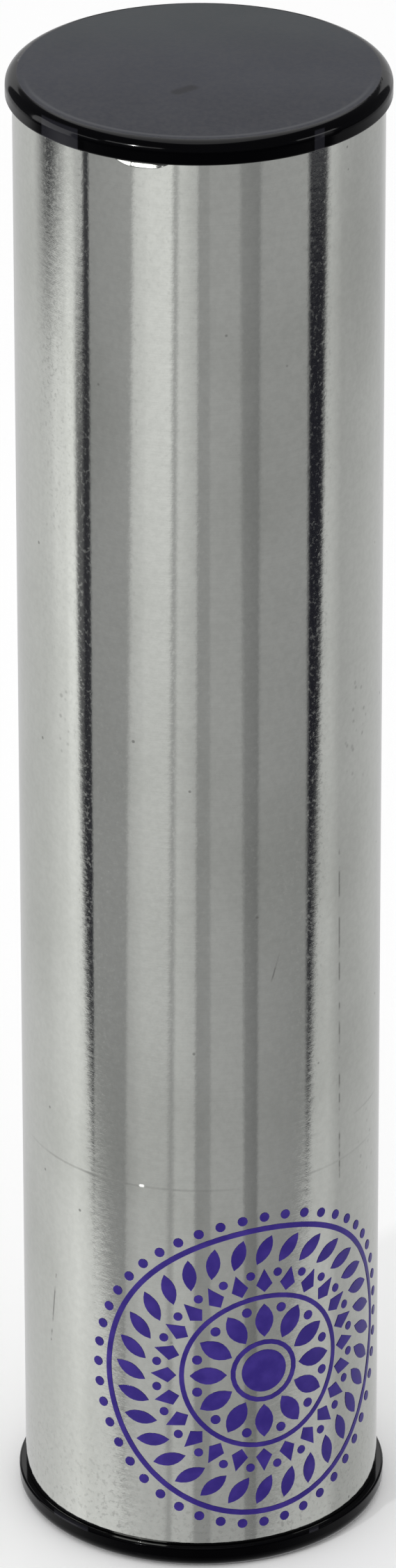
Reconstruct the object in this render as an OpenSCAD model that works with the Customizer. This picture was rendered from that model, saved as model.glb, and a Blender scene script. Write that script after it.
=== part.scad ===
// Ganza shaker: a thin metal tube, closed by a moulded cap pressed into each end,
// with a charge of loose steel shot inside.
// It stands on the bottom cap. The origin is the centre of that cap's outer face, and +Z runs up the tube.

/* [Tube] */
// Outside diameter of the metal tube
tube_d = 50; // [40:0.5:70]
// Thickness of the tube's wall
tube_wall = 0.8; // [0.8:0.1:1.5]
// Height of the whole shaker, from the outer face of one cap to that of the other
shaker_h = 216; // [150:1:320]
// Radius of the outer edge at each end of the tube
tube_edge_r = 0.2; // [0.1:0.05:0.5]
// Bevel left by deburring on the inner edge at each end of the tube
tube_bevel = 0.15; // [0.1:0.05:0.25]

/* [Cap flange] */
// How far the flange stands out past the tube
flange_overhang = 0.95; // [0.6:0.05:2]
// Height of the flange's side
flange_t = 3.2; // [2.8:0.1:5]
// Radius of the flange's rounded outer edge
flange_edge_r = 1.7; // [0.6:0.1:2]
// Radius of the small break on the edge that meets the tube
flange_break_r = 0.3; // [0.1:0.1:0.5]

/* [Cap plug] */
// Thickness of the closed end, measured inside the plug
cap_floor_t = 2.2; // [1.6:0.1:2.6]
// How far the plug reaches into the tube, past the flange
plug_l = 11; // [9:0.5:16]
// Thickness of the plug's wall
plug_wall = 1.6; // [1.2:0.1:2.4]
// Room between the plug's wall and the tube's bore
plug_clearance = 0.35; // [0.25:0.05:0.6]
// Length of the lead-in taper on the plug's open end
plug_lead = 1.2; // [0.8:0.1:2]
// Fillet where the plug's wall meets the closed end, inside
plug_fillet_r = 1; // [0.5:0.1:1.5]

/* [Cap fins] */
// Number of barbed fins round each plug
fin_count = 3; // [2:1:3]
// Distance from one fin to the next
fin_pitch = 2.8; // [2.2:0.1:3]
// Thickness of a fin where it leaves the plug
fin_root_t = 1.1; // [0.8:0.1:1.4]
// Thickness of a fin at its tip
fin_tip_t = 0.5; // [0.3:0.1:0.7]
// How deep the fin tips bite on the bore when the cap is pressed in
fin_bite = 0.05; // [0.02:0.01:0.1]

/* [Steel shot] */
// Diameter of one ball of shot
shot_d = 4.5; // [4:0.1:6]
// Room between neighbouring balls, and between a ball and a wall
shot_gap = 0.1; // [0.06:0.01:0.2]

/* [Hidden] */

// Fineness of round forms
$fn = 96;

// Radii and length that follow from the tube
tube_r = tube_d / 2;
bore_r = tube_r - tube_wall;
flange_r = tube_r + flange_overhang;
tube_l = shaker_h - 2 * flange_t;
plug_r = bore_r - plug_clearance;
plug_in_r = plug_r - plug_wall;
fin_r = bore_r + fin_bite;

// Heights measured from a cap's outer face
plug_top = flange_t + plug_l;
// The first fin starts one root thickness above the flange
fin_start = flange_t + fin_root_t;

// How far a cut runs past the face that it opens
overrun = tube_wall;

// The balls lie in close-packed layers, each in the hollows of the one below
shot_pitch = shot_d + shot_gap;
shot_row = shot_pitch * sqrt(3) / 2;
shot_rise = shot_pitch * sqrt(2 / 3);
shot_reach = plug_in_r - shot_gap - shot_d / 2;
shot_span = ceil(2 * shot_reach / shot_row);
shot_floor = cap_floor_t + shot_gap + shot_d / 2;

// Place of ball i in row j, for a layer that is shifted by a share of the hollow between three balls
function ball_at(i, j, shift_share) = [
    shot_pitch * (i + j / 2 + shift_share / 2),
    shot_row * (j + shift_share / 3)
];

// Section of one wall of the tube: bevelled inner edges, rounded outer edges
module tube_section() {
    translate([0, flange_t]) {
        polygon([
            [bore_r + tube_bevel, 0],
            [tube_r - tube_edge_r, 0],
            [tube_r - tube_edge_r, tube_l],
            [bore_r + tube_bevel, tube_l],
            [bore_r, tube_l - tube_bevel],
            [bore_r, tube_bevel]
        ]);
        translate([tube_r - tube_edge_r, tube_edge_r])
            square([tube_edge_r, tube_l - 2 * tube_edge_r]);
        intersection() {
            translate([tube_r - tube_edge_r, 0])
                square([tube_edge_r, tube_l]);
            for (end = [tube_edge_r, tube_l - tube_edge_r])
                translate([tube_r - tube_edge_r, end])
                    circle(r = tube_edge_r);
        }
    }
}

// Half section of the flange: a disc with a full round on its outer edge and a small break at the tube
module flange_section() {
    square([flange_r - flange_edge_r, flange_t]);
    translate([0, flange_edge_r])
        square([flange_r, flange_t - flange_edge_r - flange_break_r]);
    intersection() {
        square([flange_r, flange_edge_r]);
        translate([flange_r - flange_edge_r, flange_edge_r])
            circle(r = flange_edge_r);
    }
    translate([0, flange_t - flange_break_r])
        square([flange_r - flange_break_r, flange_break_r]);
    translate([flange_r - flange_break_r, flange_t - flange_break_r])
        circle(r = flange_break_r);
}

// Half section of the plug, solid to the axis, tapered on its open end so that it starts into the bore
module plug_section() {
    polygon([
        [0, 0],
        [plug_r, 0],
        [plug_r, plug_top - plug_lead],
        [plug_r - plug_wall / 2, plug_top],
        [0, plug_top]
    ]);
}

// Section of one barbed fin: flat on the side that holds, sloped on the side that goes in first
module fin_section() {
    polygon([
        [plug_r - plug_wall / 2, 0],
        [fin_r, 0],
        [fin_r, fin_tip_t],
        [plug_r, fin_root_t],
        [plug_r - plug_wall / 2, fin_root_t]
    ]);
}

// Half section of the hollow inside the plug, with the moulding fillet round its floor
module pocket_section() {
    translate([0, cap_floor_t + plug_fillet_r])
        square([plug_in_r, plug_top + overrun]);
    translate([0, cap_floor_t])
        square([plug_in_r - plug_fillet_r, plug_top + overrun]);
    translate([plug_in_r - plug_fillet_r, cap_floor_t + plug_fillet_r])
        circle(r = plug_fillet_r);
}

// One cap, outer face down
module cap() {
    rotate_extrude()
        difference() {
            union() {
                flange_section();
                plug_section();
                for (n = [0 : fin_count - 1])
                    translate([0, fin_start + n * fin_pitch])
                        fin_section();
            }
            pocket_section();
        }
}

// One close-packed layer of shot; every second layer sits in the hollows of the first
module shot_layer(n) {
    shift_share = n % 2;
    for (j = [-shot_span : shot_span])
        for (i = [-2 * shot_span : 2 * shot_span])
            if (norm(ball_at(i, j, shift_share)) <= shot_reach)
                translate([ball_at(i, j, shift_share).x, ball_at(i, j, shift_share).y, shot_floor + n * shot_rise])
                    sphere(d = shot_d);
}

module tube() {
    color("silver")
        rotate_extrude()
            tube_section();
}

module bottom_cap() {
    color([0.08, 0.08, 0.09])
        cap();
}

module top_cap() {
    color([0.08, 0.08, 0.09])
        translate([0, 0, shaker_h])
            mirror([0, 0, 1])
                cap();
}

module shot_layer_1() {
    color("slategray")
        shot_layer(0);
}

module shot_layer_2() {
    color("slategray")
        shot_layer(1);
}

module shot_layer_3() {
    color("slategray")
        shot_layer(2);
}

module shot_layer_4() {
    color("slategray")
        shot_layer(3);
}

tube();
bottom_cap();
top_cap();
shot_layer_1();
shot_layer_2();
shot_layer_3();
shot_layer_4();
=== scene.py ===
import math

import bmesh
import bpy
from mathutils import Matrix, Vector

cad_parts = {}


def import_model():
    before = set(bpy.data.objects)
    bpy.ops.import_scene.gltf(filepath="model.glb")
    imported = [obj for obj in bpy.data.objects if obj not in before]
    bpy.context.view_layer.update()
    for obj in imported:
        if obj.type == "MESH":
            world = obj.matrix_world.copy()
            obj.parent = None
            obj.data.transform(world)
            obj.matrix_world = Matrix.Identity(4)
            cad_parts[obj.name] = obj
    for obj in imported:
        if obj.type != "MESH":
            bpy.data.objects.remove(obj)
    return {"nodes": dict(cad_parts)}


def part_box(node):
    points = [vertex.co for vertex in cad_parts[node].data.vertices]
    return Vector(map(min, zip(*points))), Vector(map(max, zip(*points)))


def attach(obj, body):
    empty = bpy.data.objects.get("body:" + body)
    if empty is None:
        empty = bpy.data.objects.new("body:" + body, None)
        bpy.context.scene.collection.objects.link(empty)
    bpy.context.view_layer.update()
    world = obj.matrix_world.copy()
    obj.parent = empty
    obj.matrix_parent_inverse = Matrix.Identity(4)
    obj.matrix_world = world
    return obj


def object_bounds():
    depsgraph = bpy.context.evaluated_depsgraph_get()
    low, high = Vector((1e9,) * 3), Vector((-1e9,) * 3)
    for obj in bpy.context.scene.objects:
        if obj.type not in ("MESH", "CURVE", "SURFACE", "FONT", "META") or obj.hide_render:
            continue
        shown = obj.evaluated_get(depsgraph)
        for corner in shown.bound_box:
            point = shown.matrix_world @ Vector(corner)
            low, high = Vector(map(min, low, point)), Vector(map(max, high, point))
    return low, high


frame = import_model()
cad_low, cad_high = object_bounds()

MM = 0.001

# Sizes read from the frame
_, tube_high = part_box("tube")
TUBE_R = tube_high.x
TUBE_R_MM = TUBE_R / MM
TOP_Z = cad_high.z

# Camera: a long lens about 1.35 m from the tube's middle, looking down at it
FRAME_H_PX = 2254
FOCAL_PX = 14059
SENSOR_MM = 36
CAMERA_PLACE = (-0.0003, -1.2147, 0.7010)
CAMERA_PITCH_DEG = 25.94
CAMERA_ROLL_DEG = -0.098
CAMERA_CLIP = (0.01, 50)


# Node helpers

# Levels between which most noise lies, and levels between which only its higher parts come in
NOISE_MOST, NOISE_HIGH = (0.3, 0.7), (0.35, 0.75)


def fresh_tree(material):
    """Empties a material's or world's node tree and returns it."""
    material.use_nodes = True
    material.node_tree.nodes.clear()
    return material.node_tree


def plug(tree, socket, value):
    """Links a socket, or sets a constant."""
    if isinstance(value, bpy.types.NodeSocket):
        tree.links.new(value, socket)
    else:
        socket.default_value = value


def calc(tree, operation, a, b=None, c=None, clamp=False):
    """One Math node."""
    node = tree.nodes.new("ShaderNodeMath")
    node.operation = operation
    node.use_clamp = clamp
    for socket, value in zip(node.inputs, (a, b, c)):
        if value is not None:
            plug(tree, socket, value)
    return node.outputs[0]


def times(tree, a, b):
    """One value times another."""
    return calc(tree, "MULTIPLY", a, b)


def minus(tree, a, b):
    """One value less another."""
    return calc(tree, "SUBTRACT", a, b)


def gap(tree, a, b):
    """How far apart two values are."""
    return calc(tree, "ABSOLUTE", minus(tree, a, b))


def left_over(tree, share):
    """What a share leaves of 1."""
    return minus(tree, 1.0, share)


def most(tree, masks):
    """The largest of several masks."""
    largest, *others = masks
    for mask in others:
        largest = calc(tree, "MAXIMUM", largest, mask)
    return largest


def fade(tree, value, low, high, to_low=0.0, to_high=1.0):
    """Smooth step of a value from low to high."""
    node = tree.nodes.new("ShaderNodeMapRange")
    node.interpolation_type = "SMOOTHSTEP"
    for name, v in (
        ("Value", value),
        ("From Min", low),
        ("From Max", high),
        ("To Min", to_low),
        ("To Max", to_high),
    ):
        plug(tree, node.inputs[name], v)
    return node.outputs[0]


def blend(tree, share, a, b):
    """Mixes two colours."""
    node = tree.nodes.new("ShaderNodeMix")
    node.data_type = "RGBA"
    plug(tree, node.inputs["Factor"], share)
    plug(tree, node.inputs["A"], a)
    plug(tree, node.inputs["B"], b)
    return node.outputs["Result"]


def ramp(tree, value, stops):
    """Colour ramp through (place, grey) stops."""
    node = tree.nodes.new("ShaderNodeValToRGB")
    elements = node.color_ramp.elements
    while len(elements) < len(stops):
        elements.new(0.5)
    for element, (place, grey) in zip(elements, stops):
        element.position = place
        element.color = (grey, grey, grey, 1)
    plug(tree, node.inputs[0], value)
    return node.outputs[0]


def scaled_place(tree, scale):
    """Object coordinates in metres, times a scale on each axis."""
    coords = tree.nodes.new("ShaderNodeTexCoord")
    node = tree.nodes.new("ShaderNodeVectorMath")
    node.operation = "MULTIPLY"
    tree.links.new(coords.outputs["Object"], node.inputs[0])
    node.inputs[1].default_value = scale
    return node.outputs[0]


def noise(tree, scale, detail=2.0, rough=0.5):
    """Noise with scale grains per metre on each axis."""
    node = tree.nodes.new("ShaderNodeTexNoise")
    node.inputs["Scale"].default_value = 1.0
    node.inputs["Detail"].default_value = detail
    node.inputs["Roughness"].default_value = rough
    tree.links.new(scaled_place(tree, scale), node.inputs["Vector"])
    return node.outputs[0]


def round_place(tree):
    """Distance round the tube from its front, and height, both in millimetres."""
    coords = tree.nodes.new("ShaderNodeTexCoord")
    split = tree.nodes.new("ShaderNodeSeparateXYZ")
    tree.links.new(coords.outputs["Object"], split.inputs[0])
    back = times(tree, split.outputs["Y"], -1.0)
    angle = calc(tree, "ARCTAN2", split.outputs["X"], back)
    return (
        times(tree, angle, TUBE_R_MM),
        calc(tree, "DIVIDE", split.outputs["Z"], MM),
    )


def principled(tree, **values):
    """A Principled shader with its output, set from keywords where _ stands for a space."""
    shader = tree.nodes.new("ShaderNodeBsdfPrincipled")
    out = tree.nodes.new("ShaderNodeOutputMaterial")
    tree.links.new(shader.outputs[0], out.inputs["Surface"])
    for name, value in values.items():
        plug(tree, shader.inputs[name.replace("_", " ")], value)
    return shader


def bump(tree, height, strength, distance, normal=None):
    """Normal from a height, with distance in metres."""
    node = tree.nodes.new("ShaderNodeBump")
    if normal is not None:
        tree.links.new(normal, node.inputs["Normal"])
    node.inputs["Strength"].default_value = strength
    node.inputs["Distance"].default_value = distance
    plug(tree, node.inputs["Height"], height)
    return node.outputs[0]


# Tube metal

# Each scratch as (round, height) of its two ends and half its width, in millimetres
SCRATCHES = (
    ((21.6, 108.0), (22.0, 57.0), 0.22),
    ((9.9, 91.0), (11.2, 95.5), 0.16),
    ((-23.6, 41.0), (-25.0, 30.0), 0.22),
    ((-17.0, 132.0), (-15.2, 131.4), 0.14),
    ((-19.6, 51.0), (-18.7, 52.1), 0.26),
    ((34.0, 160.0), (36.5, 152.0), 0.16),
    ((-46.0, 120.0), (-41.0, 116.0), 0.16),
    ((60.0, 70.0), (61.5, 44.0), 0.2),
)
# The share of a scratch's width that is at full strength
SCRATCH_CORE = 1 / 3
# Height of the two faint lines that run round the tube, and how far each reaches, in millimetres
SCRIBED_LINES = ((59.8, -34.0, 34.0), (65.6, 13.0, 34.0))
# Half the width of such a line and of its darkest part, in millimetres, and the share of its reach that is
# at full strength
LINE_HALF, LINE_CORE_HALF, LINE_CORE_REACH = 0.24, 0.08, 0.7
# Pits as cells per metre, radius in cells, and the lots of 0 to 1 between which a cell comes to have a pit
SPARSE_PITS = (240, 0.075, 0.60, 0.66)
CROWDED_PITS = (800, 0.34, 0.35, 0.6)
# The share of a pit's radius that is at full strength
PIT_CORE = 0.4
# Where small pits crowd together, as (round, up, reach round, reach up), in millimetres
PITTED = ((26.2, 124.5, 4.5, 11.0), (-20.8, 127.6, 2.2, 7.0), (30.0, 60.0, 4.0, 9.0))
# The share of such a zone's reach that is at full strength, squared
ZONE_CORE = 0.3
# A pale fleck on the metal: round from the front, up from the foot, and radius, in millimetres
FLECK_ROUND, FLECK_UP, FLECK_R = -8.5, 59.9, 0.32
FLECK_WHITE = (0.95, 0.95, 0.93, 1)
# Heights between which the dull spotting near the foot fades out, in millimetres
SPOTS_FULL, SPOTS_END = 6.0, 26.0
# Heights between which the speckle in the polish grows to its full strength, in millimetres, and its share
# below them
SPECKLE_FROM, SPECKLE_FULL, SPECKLE_LEAST = 60.0, 110.0, 0.25
# Where the rim under the top cap is pressed back: middle, half width at its fullest and half width where it
# ends, in millimetres round from the front
DENT_ROUND, DENT_FULL, DENT_END = -7.8, 1.4, 5.0
# Its height and how softly it starts, in millimetres, and its drop for each millimetre up
DENT_H, DENT_SOFT, DENT_SLANT = 1.05, 0.06, 0.488
METAL_PALE = (0.685, 0.698, 0.655, 1)
METAL_DULL = (0.605, 0.618, 0.575, 1)
METAL_MARK = (0.16, 0.16, 0.15, 1)
# Grains per metre of each pattern in the metal, on each axis
BRUSHING, FINE_BRUSHING = (60, 60, 9000), (300, 300, 16000)
METAL_GRAIN, METAL_SPECKLE, METAL_SPOTS = (1100, 1100, 1000), (2100, 2100, 1900), (1600, 1600, 1600)
METAL_CLOUDS, SCRATCH_BREAKS, LINE_BREAKS = (45, 45, 30), (260, 260, 420), (90, 90, 60)
# Noise levels between which duller areas, unbroken stretches of the marks, spots and speckle come in
CLOUDS_IN, SCRATCHES_IN, LINES_IN = (0.42, 0.72), (0.42, 0.58), (0.3, 0.6)
SPOTS_IN, SPECKLE_IN = (0.54, 0.64), (0.50, 0.72)
# How strongly each pattern and mark darkens the metal
BRUSHING_SHARE, GRAIN_SHARE = 0.035, 0.085
SCRATCH_SHARE, LINE_SHARE, PIT_SHARE, CROWD_SHARE, SPOT_SHARE = 0.6, 0.28, 0.6, 0.5, 0.20
# Roughness of the polish, and what dull areas, marks and speckle add to it
METAL_ROUGH, DULL_ROUGHER, MARK_ROUGHER, SPECKLE_ROUGHER = 0.05, 0.02, 0.25, 0.09
# Depth of the brushing and of the grain in metres, the brushing's strength, and how high its fine part and
# the marks stand against it
BRUSHING_DEPTH, GRAIN_DEPTH, BRUSHING_STRENGTH = 0.00003, 0.0000045, 0.03
FINE_HEIGHT, MARK_HEIGHT = 0.5, -1.5
# How much the brushing stretches reflections, and in which direction, as a share of a full turn
BRUSHED_STRETCH, BRUSHED_TURN = 0.3, 0.25


def scratch_mask(tree, across, up, start, end, half):
    """1 on a straight scratch between two points of the unrolled tube."""
    run = Vector(end) - Vector(start)
    from_x = minus(tree, across, start[0])
    from_y = minus(tree, up, start[1])
    dot = times(tree, from_x, run.x)
    dot = calc(tree, "MULTIPLY_ADD", from_y, run.y, dot)
    along = calc(tree, "DIVIDE", dot, run.length_squared, clamp=True)
    off_x = calc(tree, "MULTIPLY_ADD", along, -run.x, from_x)
    off_y = calc(tree, "MULTIPLY_ADD", along, -run.y, from_y)
    off = calc(tree, "SQRT", calc(tree, "MULTIPLY_ADD", off_x, off_x, times(tree, off_y, off_y)))
    return fade(tree, off, half, half * SCRATCH_CORE)


def line_mask(tree, across, up, height, left, right):
    """1 on a thin line round the tube that fades out at both ends."""
    off = gap(tree, up, height)
    mask = fade(tree, off, LINE_HALF, LINE_CORE_HALF)
    middle = (left + right) / 2
    reach = (right - left) / 2
    far = gap(tree, across, middle)
    return times(tree, mask, fade(tree, far, reach, reach * LINE_CORE_REACH))


def pit_mask(tree, scale, radius, from_share, to_share):
    """1 on small round pits, one in some of the cells of a Voronoi pattern."""
    specks = tree.nodes.new("ShaderNodeTexVoronoi")
    specks.inputs["Scale"].default_value = 1.0
    tree.links.new(scaled_place(tree, (scale, scale, scale)), specks.inputs["Vector"])
    chosen = tree.nodes.new("ShaderNodeSeparateColor")
    tree.links.new(specks.outputs["Color"], chosen.inputs[0])
    near = fade(tree, specks.outputs["Distance"], radius, radius * PIT_CORE)
    return times(tree, near, fade(tree, chosen.outputs[0], from_share, to_share))


def zone_mask(tree, across, up, middle, height, reach_round, reach_up):
    """1 in the middle of an oval on the unrolled tube, 0 outside it."""
    off_x = calc(tree, "DIVIDE", minus(tree, across, middle), reach_round)
    off_y = calc(tree, "DIVIDE", minus(tree, up, height), reach_up)
    far = calc(tree, "MULTIPLY_ADD", off_x, off_x, times(tree, off_y, off_y))
    return fade(tree, far, 1.0, ZONE_CORE)


def dented_rim(tree, across, up):
    """Normal of the tube, whose rim is pressed back a little at the front, under the top cap."""
    off = gap(tree, across, DENT_ROUND)
    depth = times(tree, fade(tree, off, DENT_END, DENT_FULL), DENT_H)
    past = calc(tree, "ADD", minus(tree, up, tube_high.z / MM), depth)
    drop = calc(tree, "SMOOTH_MAX", past, 0.0, DENT_SOFT)
    return bump(tree, times(tree, drop, -DENT_SLANT), 1.0, MM)


def tube_metal():
    """Semi-polished metal, brushed round the tube, with the marks of use."""
    material = bpy.data.materials.new("tube_metal_finish")
    tree = fresh_tree(material)
    across, up = round_place(tree)

    brushed = noise(tree, BRUSHING, detail=3)
    fine = noise(tree, FINE_BRUSHING)
    grain = noise(tree, METAL_GRAIN, detail=3, rough=0.6)
    dull = fade(tree, noise(tree, METAL_CLOUDS, detail=4), *CLOUDS_IN)

    scratches = most(tree, [scratch_mask(tree, across, up, *scratch) for scratch in SCRATCHES])
    scratches = times(tree, scratches, fade(tree, noise(tree, SCRATCH_BREAKS), *SCRATCHES_IN))
    lines = most(tree, [line_mask(tree, across, up, *line) for line in SCRIBED_LINES])
    lines = times(tree, lines, fade(tree, noise(tree, LINE_BREAKS, detail=1), *LINES_IN))
    zones = most(tree, [zone_mask(tree, across, up, *zone) for zone in PITTED])
    crowds = times(tree, pit_mask(tree, *CROWDED_PITS), times(tree, zones, CROWD_SHARE))
    pits = most(tree, [pit_mask(tree, *SPARSE_PITS), crowds])
    spots = fade(tree, noise(tree, METAL_SPOTS, detail=4, rough=0.6), *SPOTS_IN)
    spots = times(tree, spots, fade(tree, up, SPOTS_END, SPOTS_FULL, 0.0, SPOT_SHARE))
    shown = ((scratches, SCRATCH_SHARE), (lines, LINE_SHARE), (pits, PIT_SHARE))
    marks = most(tree, [spots] + [times(tree, mask, share) for mask, share in shown])

    base = blend(tree, dull, METAL_PALE, METAL_DULL)
    base = blend(tree, fade(tree, brushed, *NOISE_HIGH, 0.0, BRUSHING_SHARE), base, METAL_MARK)
    base = blend(tree, fade(tree, grain, *NOISE_MOST, 0.0, GRAIN_SHARE), base, METAL_MARK)
    base = blend(tree, marks, base, METAL_MARK)
    fleck_end = (FLECK_ROUND + FLECK_R, FLECK_UP)
    fleck = scratch_mask(tree, across, up, (FLECK_ROUND, FLECK_UP), fleck_end, FLECK_R)
    base = blend(tree, fleck, base, FLECK_WHITE)

    speckle = noise(tree, METAL_SPECKLE, rough=0.6)
    speckle = fade(tree, speckle, *SPECKLE_IN, 0.0, SPECKLE_ROUGHER)
    speckle = times(tree, speckle, fade(tree, up, SPECKLE_FROM, SPECKLE_FULL, SPECKLE_LEAST, 1.0))
    rough = calc(tree, "MULTIPLY_ADD", dull, DULL_ROUGHER, METAL_ROUGH)
    rough = calc(tree, "MULTIPLY_ADD", marks, MARK_ROUGHER, rough)
    rough = calc(tree, "ADD", rough, speckle)
    height = calc(tree, "MULTIPLY_ADD", fine, FINE_HEIGHT, brushed)
    height = calc(tree, "MULTIPLY_ADD", marks, MARK_HEIGHT, height)
    uneven = bump(tree, grain, 1.0, GRAIN_DEPTH, dented_rim(tree, across, up))

    shader = principled(
        tree,
        Base_Color=base,
        Metallic=left_over(tree, fleck),
        Roughness=rough,
        Anisotropic=BRUSHED_STRETCH,
        Anisotropic_Rotation=BRUSHED_TURN,
        Normal=bump(tree, height, BRUSHING_STRENGTH, BRUSHING_DEPTH, uneven),
    )
    tangent = tree.nodes.new("ShaderNodeTangent")
    tangent.direction_type = "RADIAL"
    tangent.axis = "Z"
    tree.links.new(tangent.outputs[0], shader.inputs["Tangent"])
    return material


# Cap plastic

CAP_IOR = 1.28
# Where the satin face gives way to the polished edge, in millimetres from the axis
FACE_R, FACE_SOFT = 24.35, 0.15
# Its colour at the front, in the middle and at the back, and where these lie, in millimetres: painted shade
# and sheen, darker at the front and lighter at the back
FACE_FRONT, FACE_FRONT_Y = (0.0245, 0.0265, 0.0365, 1), -22.0
FACE_MIDDLE, FACE_MIDDLE_Y = (0.0345, 0.037, 0.049, 1), 0.0
FACE_BACK, FACE_BACK_Y = (0.0455, 0.052, 0.057, 1), 22.0
# The mark that the moulding gate left on it, from end to end and half its width, in millimetres
GATE_FROM, GATE_TO, GATE_HALF = (-2.9, -7.8), (-1.0, -6.2), 1.25
GATE_BLACK = (0.014, 0.014, 0.017, 1)
# Where the flange's side starts and its reflections are taken away, a painted shade that keeps it black, in
# millimetres from the axis
SIDE_FROM_R, SIDE_FULL_R = 25.87, 25.905
# The same painted shade for all of the lower flange, in millimetres up from the foot
LOW_FROM, LOW_FULL = 2.9, 2.8
# Two stretches across the upper flange's front where its side keeps its reflections and is painted lighter,
# a painted reflection of the lit panels at the sides, and how softly they end, in millimetres
SHEEN_STRETCHES, SHINING_SOFT = ((-20.9, -15.9), (15.1, 16.6)), 0.2
# How far forward of the axis they are complete, and where their colour starts on the flange's rounding
SHINING_Y, SHINING_FROM_R, SHINING_FULL_R = -5.0, 25.3, 25.5
PAINTED_SHEEN_BLACK = (0.011, 0.011, 0.0142, 1)
# The painted highlight line just inside the face's border, on its front half, standing for the overhead
# light reflected there, and how far it reaches to either side, in millimetres
RIM_HIGHLIGHT_R, RIM_HIGHLIGHT_HALF = 23.5, 0.5
RIM_HIGHLIGHT_GREY = (0.066, 0.068, 0.076, 1)
EDGE_BLACK = (0.001, 0.001, 0.0013, 1)
WORN_BLACK = (0.06, 0.06, 0.063, 1)
# Grains per metre of each pattern in the plastic, on each axis
FACE_GRAIN, FACE_SPECKLE = (2600, 2600, 2600), (1300, 900, 1300)
FACE_CLOUDS, FACE_SCUFFS = (70, 70, 70), (900, 120, 120)
# Noise levels between which the scuffs come in
SCUFFS_IN = (0.62, 0.80)
# How strongly the speckle, the scuffs and the gate's mark show
FACE_SPECKLE_SHARE, SCUFF_SHARE, GATE_SHARE = 0.35, 0.35, 0.7
# Roughness of the face, from and to, and of the edge
FACE_ROUGH, EDGE_ROUGH = (0.40, 0.48), 0.09
# Depth of the grain in metres, its strength, and how much of it the edge has
FACE_GRAIN_DEPTH, FACE_GRAIN_STRENGTH, EDGE_GRAIN = 0.00004, 0.25, 0.1


def cap_plastic():
    """Black moulded plastic: a satin face with a fine grain, and a polished edge."""
    material = bpy.data.materials.new("cap_plastic_finish")
    tree = fresh_tree(material)
    split = tree.nodes.new("ShaderNodeSeparateXYZ")
    tree.links.new(scaled_place(tree, (1 / MM, 1 / MM, 1 / MM)), split.inputs[0])
    x, y, z = split.outputs
    flat = tree.nodes.new("ShaderNodeVectorMath")
    flat.operation = "LENGTH"
    tree.links.new(scaled_place(tree, (1 / MM, 1 / MM, 0)), flat.inputs[0])
    from_axis = flat.outputs["Value"]
    face = fade(tree, from_axis, FACE_R + FACE_SOFT, FACE_R - FACE_SOFT)

    # Painted shade and sheen: the face is darker at the front and lighter towards the back
    black = blend(tree, fade(tree, y, FACE_FRONT_Y, FACE_MIDDLE_Y), FACE_FRONT, FACE_MIDDLE)
    black = blend(tree, fade(tree, y, FACE_MIDDLE_Y, FACE_BACK_Y), black, FACE_BACK)
    speckle = noise(tree, FACE_SPECKLE, detail=3, rough=0.65)
    black = blend(tree, fade(tree, speckle, *NOISE_MOST, 0.0, FACE_SPECKLE_SHARE), black, WORN_BLACK)
    gate = scratch_mask(tree, x, y, GATE_FROM, GATE_TO, GATE_HALF)
    black = blend(tree, times(tree, gate, GATE_SHARE), black, GATE_BLACK)
    base = blend(tree, face, EDGE_BLACK, black)
    worn = fade(tree, noise(tree, FACE_SCUFFS), *SCUFFS_IN, 0.0, SCUFF_SHARE)
    base = blend(tree, times(tree, worn, face), base, WORN_BLACK)
    # Painted highlight: a lighter line inside the face's border, on its front half only
    rim_highlight = fade(tree, gap(tree, from_axis, RIM_HIGHLIGHT_R), RIM_HIGHLIGHT_HALF, 0.0)
    base = blend(tree, times(tree, rim_highlight, fade(tree, y, 0.0, -RIM_HIGHLIGHT_R / 2)), base, RIM_HIGHLIGHT_GREY)

    low = times(tree, fade(tree, z, LOW_FROM, LOW_FULL), left_over(tree, face))
    painted_sheen = [
        times(tree, fade(tree, x, start, start + SHINING_SOFT), fade(tree, x, end, end - SHINING_SOFT))
        for start, end in SHEEN_STRETCHES
    ]
    painted_sheen = times(tree, most(tree, painted_sheen), fade(tree, y, 0.0, SHINING_Y))
    side = times(tree, fade(tree, from_axis, SIDE_FROM_R, SIDE_FULL_R), left_over(tree, painted_sheen))
    painted_sheen = times(tree, painted_sheen, fade(tree, from_axis, SHINING_FROM_R, SHINING_FULL_R))
    # Painted reflection: these stretches of the upper flange's side are given a lighter colour
    base = blend(tree, times(tree, painted_sheen, left_over(tree, low)), base, PAINTED_SHEEN_BLACK)

    satin = fade(tree, noise(tree, FACE_CLOUDS, detail=4), *NOISE_MOST, *FACE_ROUGH)
    rough = calc(tree, "MULTIPLY_ADD", face, minus(tree, satin, EDGE_ROUGH), EDGE_ROUGH)
    depth = calc(tree, "MULTIPLY_ADD", face, 1 - EDGE_GRAIN, EDGE_GRAIN)
    height = times(tree, noise(tree, FACE_GRAIN, detail=3), depth)
    principled(
        tree,
        Base_Color=base,
        Roughness=rough,
        IOR=CAP_IOR,
        # Painted shade: a black specular tint takes the reflections off the flange's side and the lower
        # flange
        Specular_Tint=blend(tree, most(tree, [side, low]), (1, 1, 1, 1), (0, 0, 0, 1)),
        Normal=bump(tree, height, FACE_GRAIN_STRENGTH, FACE_GRAIN_DEPTH),
    )
    return material


# Shot

STEEL_PALE, STEEL_DULL = (0.42, 0.42, 0.43, 1), (0.27, 0.27, 0.28, 1)
# Grains per metre of the rubbing and of the fine grain, on each axis
STEEL_RUBBING, STEEL_GRAIN = (500, 500, 500), (2500, 2500, 2500)
# Noise levels between which the dull colour comes in, and the roughness, from and to
STEEL_DULL_IN, STEEL_ROUGH = (0.35, 0.7), (0.28, 0.45)
# Strength of the grain, and its depth in metres
STEEL_GRAIN_STRENGTH, STEEL_GRAIN_DEPTH = 0.2, 0.00003


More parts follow.
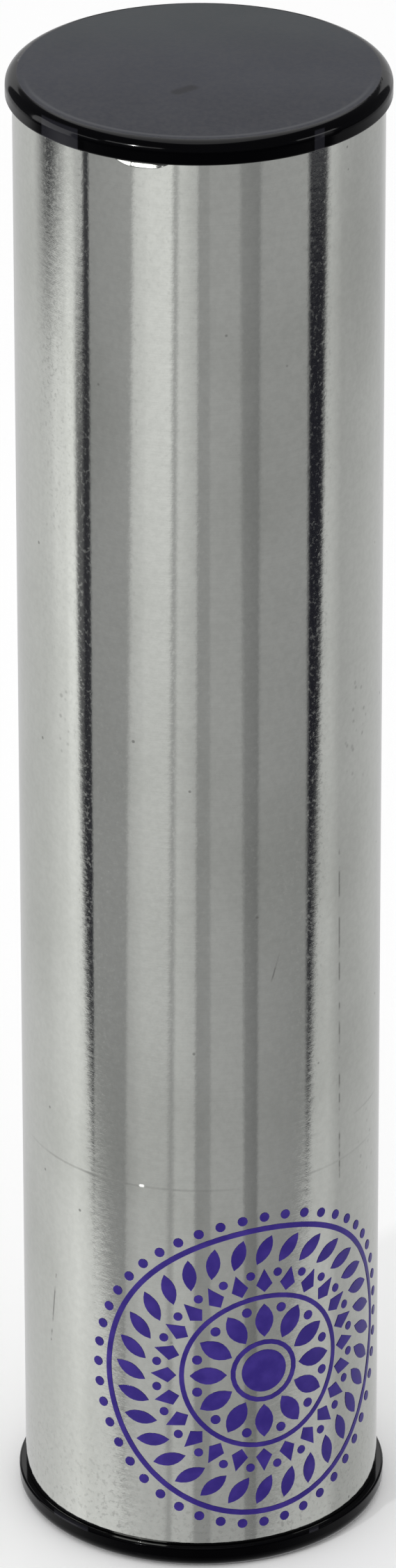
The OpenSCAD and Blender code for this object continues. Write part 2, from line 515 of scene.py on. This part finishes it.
def shot_steel():
    """Dull steel balls, rubbed by each other."""
    material = bpy.data.materials.new("shot_steel_finish")
    tree = fresh_tree(material)
    rim_highlight = noise(tree, STEEL_RUBBING, detail=3)
    base = blend(tree, fade(tree, rim_highlight, *STEEL_DULL_IN), STEEL_PALE, STEEL_DULL)
    principled(
        tree,
        Base_Color=base,
        Metallic=1.0,
        Roughness=fade(tree, rim_highlight, *NOISE_MOST, *STEEL_ROUGH),
        Normal=bump(tree, noise(tree, STEEL_GRAIN), STEEL_GRAIN_STRENGTH, STEEL_GRAIN_DEPTH),
    )
    return material


# Printed ink

# How far the ink stands out from the tube, and how far it reaches into it, in millimetres
INK_T, INK_SUNK = 0.05, 0.01
INK_IOR = 1.4
INK_PURPLE = (0.018, 0.004, 0.165, 1)
INK_LIGHT = (0.032, 0.012, 0.215, 1)
# Grains per metre of its thinner places and of its fine grain, on each axis
INK_THINNING, INK_GRAIN = (420, 420, 420), (3500, 3500, 3500)
# Its roughness, from and to, and its grain's strength and depth, the depth in metres
INK_ROUGH, INK_GRAIN_STRENGTH, INK_GRAIN_DEPTH = (0.30, 0.42), 0.15, 0.00002
# Centre of the rosette on the unrolled tube, round from the front and up from the foot, in millimetres
ROSETTE_ROUND, ROSETTE_UP = 9.0, 30.5
# Radius of its filled centre, of a dot and of a bead, in millimetres
CENTRE_R, DOT_R, BEAD_R = 3.3, 0.65, 0.72
# Length and width of its leaves and kites, in millimetres, and how far the outer leaves lean
INNER_LEAF, KITE, OUTER_LEAF, OUTER_LEAN_DEG = (5.2, 2.7), (3.6, 2.4), (4.8, 2.0), 28
# Inner and outer radius of its rings, in millimetres
INNER_RING, MIDDLE_RING, OUTER_RING = (4.2, 4.9), (11.4, 12.1), (22.1, 22.9)
# Radius of its wreaths in millimetres, and how many shapes each one has
INNER_LEAVES, INNER_BEADS = (8.0, 12), (9.9, 12)
KITES, DOTS, OUTER_LEAVES, OUTER_BEADS = (14.3, 24), (15.4, 24), (19.1, 32), (24.3, 48)
# Longest side of a facet in millimetres, the fewest facets of a ring, and those of a dot, the filled centre
# and half a leaf
LONGEST_FACET, RING_FACETS, DOT_FACETS, CENTRE_FACETS, LEAF_FACETS = 1.2, 24, 12, 36, 7
# Below 1, a leaf's sides bulge more
LEAF_BULGE = 0.8


def ink_colour():
    """Purple screen ink: slightly uneven, thinner here and there."""
    material = bpy.data.materials.new("ink_finish")
    tree = fresh_tree(material)
    uneven = noise(tree, INK_THINNING, detail=3)
    base = blend(tree, fade(tree, uneven, *NOISE_HIGH), INK_PURPLE, INK_LIGHT)
    principled(
        tree,
        Base_Color=base,
        Roughness=fade(tree, uneven, *NOISE_MOST, *INK_ROUGH),
        IOR=INK_IOR,
        Normal=bump(tree, noise(tree, INK_GRAIN), INK_GRAIN_STRENGTH, INK_GRAIN_DEPTH),
    )
    return material


def circle_outline(radius, count):
    """Regular outline round the origin."""
    return [
        Vector((radius * math.sin(math.tau * n / count), radius * math.cos(math.tau * n / count)))
        for n in range(count)
    ]


def leaf_outline(length, width):
    """Pointed leaf along the second axis."""
    shares = [n / LEAF_FACETS for n in range(LEAF_FACETS + 1)]
    right = [
        Vector((width / 2 * math.sin(math.pi * share) ** LEAF_BULGE, length * (share - 0.5)))
        for share in shares
    ]
    left = [Vector((-p.x, p.y)) for p in right[-2:0:-1]]
    return right + left


def kite_outline(length, width):
    """Kite along the second axis, widest a third of the way up."""
    corners = [
        Vector((0, -length / 2)),
        Vector((width / 2, -length / 6)),
        Vector((0, length / 2)),
        Vector((-width / 2, -length / 6)),
    ]
    shape = []
    for here, after in zip(corners, corners[1:] + corners[:1]):
        shape += [here, (here + after) / 2]
    return shape


def turned(points, angle):
    """Points turned clockwise, so that the second axis leads to the angle."""
    sin, cos = math.sin(angle), math.cos(angle)
    return [Vector((p.x * cos + p.y * sin, p.y * cos - p.x * sin)) for p in points]


def on_tube(point, lift):
    """Place on the tube, in metres, of a point of the unrolled tube in millimetres."""
    angle = point.x / TUBE_R_MM
    radius = TUBE_R + lift * MM
    return Vector((radius * math.sin(angle), -radius * math.cos(angle), point.y * MM))


def add_ring_stack(mesh, loops):
    """A closed thin patch from loops that shrink towards the middle, on both its faces."""
    levels = []
    for lift in (INK_T, -INK_SUNK):
        levels.append([[mesh.verts.new(on_tube(p, lift)) for p in loop] for loop in loops])
    for level, flip in zip(levels, (False, True)):
        for outer, inner in zip(level, level[1:]):
            count = len(outer)
            for n in range(count):
                m = (n + 1) % count
                if len(inner) == 1:
                    corners = [outer[n], outer[m], inner[0]]
                else:
                    corners = [outer[n], outer[m], inner[m], inner[n]]
                mesh.faces.new(corners[::-1] if flip else corners)
    return levels


def add_wall(mesh, top, bottom, flip):
    """The thin edge between a patch's two faces."""
    count = len(top)
    for n in range(count):
        m = (n + 1) % count
        corners = [top[m], top[n], bottom[n], bottom[m]]
        mesh.faces.new(corners[::-1] if flip else corners)


def add_blot(mesh, centre, outline):
    """Ink shape that any line from its centre meets once."""
    reach = max(p.length for p in outline)
    rings = max(1, math.ceil(reach / LONGEST_FACET))
    loops = [[centre + p * (1 - n / rings) for p in outline] for n in range(rings)]
    top, bottom = add_ring_stack(mesh, loops + [[centre]])
    add_wall(mesh, top[0], bottom[0], False)


def add_hoop(mesh, centre, inner_r, outer_r):
    """Ink ring."""
    count = max(RING_FACETS, math.ceil(math.tau * outer_r / LONGEST_FACET))
    loops = [[centre + p for p in circle_outline(r, count)] for r in (outer_r, inner_r)]
    top, bottom = add_ring_stack(mesh, loops)
    add_wall(mesh, top[0], bottom[0], False)
    add_wall(mesh, top[1], bottom[1], True)


def add_wreath(mesh, centre, radius, count, outline, lean=0.0, turn_share=0.0):
    """The same shape repeated round the rosette, each one leaning by an angle from the spoke."""
    for n in range(count):
        spoke = math.tau * (n + turn_share) / count
        place = centre + Vector((math.sin(spoke), math.cos(spoke))) * radius
        add_blot(mesh, place, turned(outline, spoke + lean))


def printed_rosette():
    """A rosette of leaves, kites, dots and rings, printed in one colour."""
    mesh = bmesh.new()
    centre = Vector((ROSETTE_ROUND, ROSETTE_UP))
    dot = circle_outline(DOT_R, DOT_FACETS)
    bead = circle_outline(BEAD_R, DOT_FACETS)
    outer_leaf = leaf_outline(*OUTER_LEAF)
    add_blot(mesh, centre, circle_outline(CENTRE_R, CENTRE_FACETS))
    add_hoop(mesh, centre, *INNER_RING)
    add_wreath(mesh, centre, *INNER_LEAVES, leaf_outline(*INNER_LEAF))
    add_wreath(mesh, centre, *INNER_BEADS, bead, turn_share=0.5)
    add_hoop(mesh, centre, *MIDDLE_RING)
    add_wreath(mesh, centre, *KITES, kite_outline(*KITE))
    add_wreath(mesh, centre, *DOTS, dot, turn_share=0.5)
    add_wreath(mesh, centre, *OUTER_LEAVES, outer_leaf, lean=math.radians(OUTER_LEAN_DEG))
    add_hoop(mesh, centre, *OUTER_RING)
    add_wreath(mesh, centre, *OUTER_BEADS, bead)
    data = bpy.data.meshes.new("printed_rosette")
    bmesh.ops.recalc_face_normals(mesh, faces=mesh.faces)
    mesh.to_mesh(data)
    mesh.free()
    data.materials.append(ink_colour())
    piece = bpy.data.objects.new("printed_rosette", data)
    bpy.context.scene.collection.objects.link(piece)
    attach(piece, "shell")


def dress(node, material):
    """Gives a CAD node its finish."""
    piece = frame["nodes"][node]
    for slot in piece.material_slots:
        slot.material = material


# Studio

# Half the floor's side, in metres
FLOOR_HALF = 6.0
FLOOR_WHITE, FLOOR_ROUGH, FLOOR_SHINE = (0.985, 0.985, 0.985, 1), 0.9, 0.1
# The level of the light on dull surfaces
SKY_LEVEL = 0.95
# The small lamp that casts the shadow: its place and side in metres, and its power in watts
KEY_PLACE, KEY_SIDE, KEY_POWER = (-1.127, -1.315, 1.216), 0.08, 7.0
# Upright cards that metal reflects, as (from, to, levels high up at both ends, levels low down at both ends)
# in degrees round from the camera's side, positive to the right
CARDS = (
    (-180, -94, (0.62, 0.62), (0.62, 0.62)),
    (-94, -84, (0.30, 0.30), (0.02, 0.02)),
    (-84, -78, (0.26, 0.18), (0, 0)),
    (-78, -72.3, (0.05, 0.05), (0.01, 0.03)),
    (-72.3, -45.3, (0.36, 0.43), (0.33, 0.32)),
    (-45.3, -36, (0.76, 0.84), (0.46, 0.54)),
    (-36, -18.3, (0.89, 0.94), (0.57, 0.555)),
    (-18.3, -15.3, (0.44, 0.44), (0.38, 0.38)),
    (-15.3, -2.3, (0.78, 0.59), (0.59, 0.54)),
    (-2.3, 6.5, (0.38, 0.38), (0.34, 0.35)),
    (6.5, 26.6, (0.43, 0.42), (0.46, 0.43)),
    (26.6, 37.7, (0.31, 0.27), (0.27, 0.22)),
    (37.7, 71.7, (0.40, 0.42), (0.37, 0.30)),
    (71.7, 94, (0.016, 0.016), (0.020, 0.020)),
    (94, 180, (0.55, 0.62), (0.55, 0.62)),
)
# Width of the soft edge between two cards, and the degrees below the horizon of the two sets of levels
CARD_EDGE_DEG = 1.0
CARDS_HIGH_DEG, CARDS_LOW_DEG = 22.5, 28.0
# How the cards' edges lean, as (degrees round, degrees of lean for each degree further down), the most that
# they may lean, and the degrees below the horizon where the edges are as given above
CARD_LEAN = (
    (-180, 0), (-72.3, 0), (-45.3, -1.6), (-17, -0.85), (-2.3, -0.6), (6.5, 0), (26.6, 0.5), (37.7, -0.3),
    (72.2, 0), (180, 0),
)
CARD_LEAN_MOST = 2.0
CARDS_MIDDLE_DEG = 25.3
# The white sheet under and round the shaker, as (degrees round, level)
SHEET = (
    (-180, 0.62), (-139, 0.65), (-115, 0.69), (-105, 0.76), (-95, 0.84), (-87, 0.92), (-78, 0.84),
    (-60, 0.80), (-40, 0.76), (0, 0.60), (60, 0.58), (90, 0.62), (100, 0.48), (118, 0.52), (140, 0.58),
    (180, 0.62),
)
# Where the sheet's edge lies on either side, as (degrees below the horizon, degrees round)
SHEET_EDGE_LEFT = (
    (0, 76.6), (23.0, 76.9), (23.35, 86.1), (23.9, 85.8), (24.4, 84.8), (25.2, 83.3), (26.2, 81.2),
    (27.2, 78.4), (27.8, 75.4), (28.2, 73.6), (28.7, 67.5), (29.2, 61), (29.9, 52.5), (30.6, 43),
    (31.5, 28), (33, 0),
)
SHEET_EDGE_RIGHT = (
    (0, 95), (22.4, 86.8), (23.4, 84.8), (24.6, 83.4), (25.8, 81.2), (26.6, 78.9), (27.4, 76.2),
    (27.8, 74.8), (28.2, 72), (28.7, 67), (29.2, 61), (29.9, 52.5), (30.6, 43), (31.5, 28), (33, 0),
)
SHEET_EDGE_SOFT = 1.5
# Lighter and dimmer patches of the tent, as (middle round, half width of the full part, half width in all,
# degrees below the horizon where it ends, and where it is full, share, level)
PATCHES = (
    (-88, 1.5, 5.5, 26.6, 25.6, 0.55, 1.1),
    (-95, 6, 13, 25.8, 24.0, 0.4, 1.08),
    (-94, 14, 22, 23.2, 22.35, 0.45, 0.2),
    (-106.5, 0, 19, 23.2, 22.35, 1.0, 0.04),
    (132, 15, 35, 24.2, 22.4, 0.4, 0.35),
    (80, 8, 10, 22.5, 22.25, 0.45, 0.2),
)
# A trace of blue in all that glossy surfaces reflect
HAZE = (0, 0, 0.007)
# The dim room over the cards, seen only in glossy edges: its level, and the degrees below the horizon where
# it starts and where it is full
ROOM_LEVEL = 0.09
ROOM_FROM_DEG, ROOM_FULL_DEG = 11.0, 8.0
# Lit panels in the room, as (from, to, degrees up from, degrees up to, level), and how soft their edges are
PANELS = (
    (-176, -148, -19, 25, 0.85),
    (-112, -79, -19, 22, 1.9),
    (-112, -62, 17, 23, 1.9),
    (-60, -23, 27, 34, 2.6),
    (60, 88, 15, 23, 3.0),
    (74, 83, -19, 15, 0.7),
    (148, 176, -19, 25, 0.85),
)
PANEL_SOFT_DEG = 1.5
# A long lamp overhead, as an oval: its middle in degrees over the top from the front, its half length and
# half width in degrees, how much of that is a soft edge, and its level
TOP_LAMP_OVER_DEG, TOP_LAMP_LONG_DEG, TOP_LAMP_WIDE_DEG = 118, 35, 18
TOP_LAMP_SOFT = 0.12
TOP_LAMP_LEVEL = 1.3


def floor():
    """Pale floor that takes the shadow and is not seen in the metal, where the world stands for it."""
    data = bpy.data.meshes.new("studio_floor")
    half = FLOOR_HALF
    corners = [(-half, -half, 0), (half, -half, 0), (half, half, 0), (-half, half, 0)]
    data.from_pydata(corners, [], [(0, 1, 2, 3)])
    plane = bpy.data.objects.new("studio_floor", data)
    bpy.context.scene.collection.objects.link(plane)
    plane.visible_glossy = False
    material = bpy.data.materials.new("studio_floor_white")
    tree = fresh_tree(material)
    principled(tree, Base_Color=FLOOR_WHITE, Roughness=FLOOR_ROUGH, Specular_IOR_Level=FLOOR_SHINE)
    data.materials.append(material)


def round_share(degrees):
    """Place of degrees round on a ramp that goes once round the shaker."""
    return (degrees + 180) / 360


def round_ramp(tree, share, row):
    """Levels of the cards round the shaker, with soft edges; row 0 is high up and row 1 low down."""
    stops = []
    for start, end, *levels in CARDS:
        places = (start + CARD_EDGE_DEG / 2, end - CARD_EDGE_DEG / 2)
        stops += [(round_share(place), grey) for place, grey in zip(places, levels[row])]
    return ramp(tree, share, stops)


def band_mask(tree, angle, start, end):
    """1 between two angles, with soft ends."""
    off = gap(tree, angle, (start + end) / 2)
    half = (end - start) / 2
    return fade(tree, off, half + PANEL_SOFT_DEG / 2, half - PANEL_SOFT_DEG / 2)


def top_lamp_mask(tree, split):
    """1 in the directions that meet the lamp overhead."""
    front = times(tree, split.outputs["Y"], -1.0)
    over = calc(tree, "ARCTAN2", split.outputs["Z"], front)
    along = minus(tree, over, math.radians(TOP_LAMP_OVER_DEG))
    along = calc(tree, "DIVIDE", along, math.radians(TOP_LAMP_LONG_DEG))
    aside = calc(tree, "ARCSINE", split.outputs["X"])
    aside = calc(tree, "DIVIDE", aside, math.radians(TOP_LAMP_WIDE_DEG))
    far = calc(tree, "SQRT", calc(tree, "MULTIPLY_ADD", along, along, times(tree, aside, aside)))
    return fade(tree, far, 1 + TOP_LAMP_SOFT, 1 - TOP_LAMP_SOFT)


def world():
    """White to the camera, even light on dull surfaces, and a lit tent with upright cards to glossy ones."""
    sky = bpy.data.worlds.new("studio_world")
    bpy.context.scene.world = sky
    tree = fresh_tree(sky)
    coords = tree.nodes.new("ShaderNodeTexCoord")
    split = tree.nodes.new("ShaderNodeSeparateXYZ")
    tree.links.new(coords.outputs["Generated"], split.inputs[0])
    front = times(tree, split.outputs["Y"], -1.0)
    azimuth = times(tree, calc(tree, "ARCTAN2", split.outputs["X"], front), 180 / math.pi)
    low = times(tree, calc(tree, "ARCSINE", split.outputs["Z"]), -180 / math.pi)
    share = calc(tree, "MULTIPLY_ADD", azimuth, 1 / 360, 0.5)

    # A ramp holds 0 to 1 only, so the lean, which has a sign, is stored as a share of its range
    leans = [(round_share(place), 0.5 + 0.5 * each / CARD_LEAN_MOST) for place, each in CARD_LEAN]
    lean = calc(tree, "MULTIPLY_ADD", ramp(tree, share, leans), 2 * CARD_LEAN_MOST, -CARD_LEAN_MOST)
    past_middle = minus(tree, low, CARDS_MIDDLE_DEG)
    upright = minus(tree, azimuth, times(tree, lean, past_middle))
    card_share = calc(tree, "MULTIPLY_ADD", upright, 1 / 360, 0.5)
    span = CARDS_LOW_DEG - CARDS_HIGH_DEG
    deep = calc(tree, "MULTIPLY_ADD", low, 1 / span, -CARDS_HIGH_DEG / span, clamp=True)
    cards = blend(tree, deep, round_ramp(tree, card_share, 0), round_ramp(tree, card_share, 1))

    # The sheet's edge comes nearer to the front as the view goes down
    below = calc(tree, "DIVIDE", low, 90.0)
    left, right = (
        ramp(tree, below, [(down / 90, aside / 180) for down, aside in table])
        for table in (SHEET_EDGE_LEFT, SHEET_EDGE_RIGHT)
    )
    edge = blend(tree, calc(tree, "GREATER_THAN", azimuth, 0.0), left, right)
    past = minus(tree, calc(tree, "ABSOLUTE", azimuth), times(tree, edge, 180.0))
    sheet = ramp(tree, share, [(round_share(place), level) for place, level in SHEET])
    lit = blend(tree, fade(tree, past, -SHEET_EDGE_SOFT, SHEET_EDGE_SOFT), cards, sheet)

    for middle, full_deg, end_deg, gone_low, full_low, patch_share, grey in PATCHES:
        off = gap(tree, azimuth, middle)
        patch = times(tree, fade(tree, off, end_deg, full_deg), fade(tree, low, gone_low, full_low))
        lit = blend(tree, times(tree, patch, patch_share), lit, (grey, grey, grey, 1))

    upper = fade(tree, low, ROOM_FROM_DEG, ROOM_FULL_DEG)
    level = calc(tree, "MULTIPLY_ADD", top_lamp_mask(tree, split), TOP_LAMP_LEVEL, ROOM_LEVEL)
    for left_deg, right_deg, foot_deg, head_deg, panel_level in PANELS:
        aside = band_mask(tree, azimuth, left_deg, right_deg)
        mask = times(tree, aside, band_mask(tree, low, -head_deg, -foot_deg))
        level = calc(tree, "MAXIMUM", level, times(tree, mask, panel_level))
    room = tree.nodes.new("ShaderNodeCombineColor")
    for socket in room.inputs[:3]:
        tree.links.new(level, socket)
    tinted = tree.nodes.new("ShaderNodeVectorMath")
    tinted.operation = "ADD"
    tree.links.new(blend(tree, upper, lit, room.outputs[0]), tinted.inputs[0])
    tinted.inputs[1].default_value = HAZE
    glossy = tinted.outputs[0]

    path = tree.nodes.new("ShaderNodeLightPath")
    even = blend(tree, path.outputs["Is Camera Ray"], (SKY_LEVEL, SKY_LEVEL, SKY_LEVEL, 1), (1, 1, 1, 1))
    colour = blend(tree, path.outputs["Is Glossy Ray"], even, glossy)
    background = tree.nodes.new("ShaderNodeBackground")
    tree.links.new(colour, background.inputs["Color"])
    out = tree.nodes.new("ShaderNodeOutputWorld")
    tree.links.new(background.outputs[0], out.inputs["Surface"])


def key_light():
    """One small lamp from the front left."""
    data = bpy.data.lights.new("key_light", "AREA")
    data.shape = "SQUARE"
    data.size = KEY_SIDE
    data.energy = KEY_POWER
    lamp = bpy.data.objects.new("key_light", data)
    bpy.context.scene.collection.objects.link(lamp)
    lamp.location = KEY_PLACE
    aim = Vector((0, 0, TOP_Z / 2)) - lamp.location
    lamp.rotation_euler = aim.to_track_quat("-Z", "Y").to_euler()


def camera():
    """The photograph's view."""
    data = bpy.data.cameras.new("photo_camera")
    data.sensor_width = SENSOR_MM
    data.lens = FOCAL_PX * SENSOR_MM / FRAME_H_PX
    data.clip_start, data.clip_end = CAMERA_CLIP
    cam = bpy.data.objects.new("photo_camera", data)
    bpy.context.scene.collection.objects.link(cam)
    cam.location = CAMERA_PLACE
    pitch = Matrix.Rotation(math.radians(90 - CAMERA_PITCH_DEG), 3, "X")
    roll = Matrix.Rotation(math.radians(CAMERA_ROLL_DEG), 3, "Z")
    cam.rotation_euler = (pitch @ roll).to_euler()
    bpy.context.scene.camera = cam


camera()
metal = tube_metal()
plastic = cap_plastic()
steel = shot_steel()
dress("tube", metal)
for cap in ("top_cap", "bottom_cap"):
    dress(cap, plastic)
for node in frame["nodes"]:
    if node.startswith("shot_layer"):
        dress(node, steel)
printed_rosette()
floor()
world()
key_light()
bpy.context.scene.view_settings.view_transform = "Standard"
